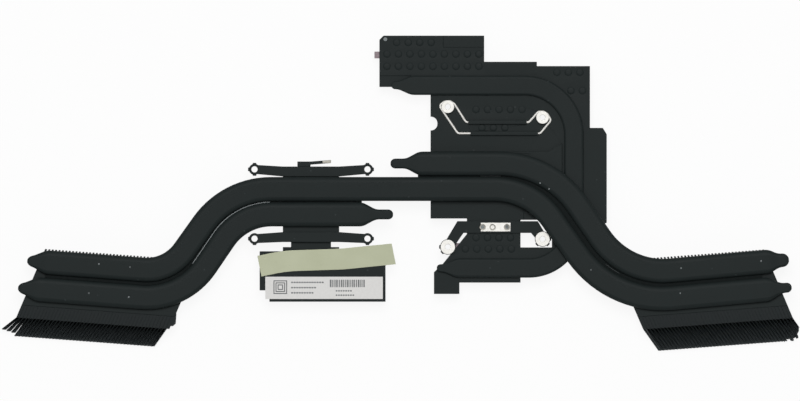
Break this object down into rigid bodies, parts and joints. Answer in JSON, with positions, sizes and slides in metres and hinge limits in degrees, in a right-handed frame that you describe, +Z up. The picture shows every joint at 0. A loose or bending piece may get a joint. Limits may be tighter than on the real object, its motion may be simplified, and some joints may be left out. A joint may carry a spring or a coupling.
{
  "type": "laptop heatsink",
  "caption": "Laptop heatsink: flattened black heat pipes join processor and graphics plates to a folded-fin stack at each end, with sprung screw eyes and bushings.",
  "frame": {"origin": "middle of the processor cold plate's contact face", "axes": "+X along the width towards the graphics plate, +Y to the rear edge, +Z up from the circuit board to the pipes"},
  "size_m": [0.3511, 0.1386, 0.0136],
  "materials": {
    "black_paint": "satin black paint",
    "black_fins": "black painted sheet",
    "copper": "ground bare copper",
    "bright_steel": "bright nickel plate",
    "paper": "matte paper",
    "tape": "matte cloth tape",
    "pad": "soft matte silicone"
  },
  "bodies": {
    "root": {"cross_heat_pipe": "black_paint", "cpu_heat_pipe": "black_paint", "gpu_heat_pipe": "black_paint", "memory_heat_pipe": "black_paint", "left_fin_stack": "black_fins", "right_fin_stack": "black_fins", "left_stack_cover": "black_paint", "right_stack_cover": "black_paint", "cpu_cold_plate": "copper", "cpu_base_plate": "black_paint", "cpu_rear_arm": "black_paint", "cpu_front_arm": "black_paint", "earth_finger": "black_paint", "vrm_plate": "black_paint", "paper_label": "paper", "tape_strip": "tape", "vrm_pad": "pad", "gpu_cold_plate": "copper", "gpu_base_plate": "black_paint", "gpu_wire_spring": "bright_steel", "rear_bushings": "bright_steel", "front_bushings": "bright_steel", "gpu_leaf_spring": "black_paint", "spring_strip": "bright_steel", "strip_rivets": "black_paint", "corner_rivet": "bright_steel", "gpu_rear_pad": "pad", "gpu_front_pad": "pad"}
  },
  "joints": []
}
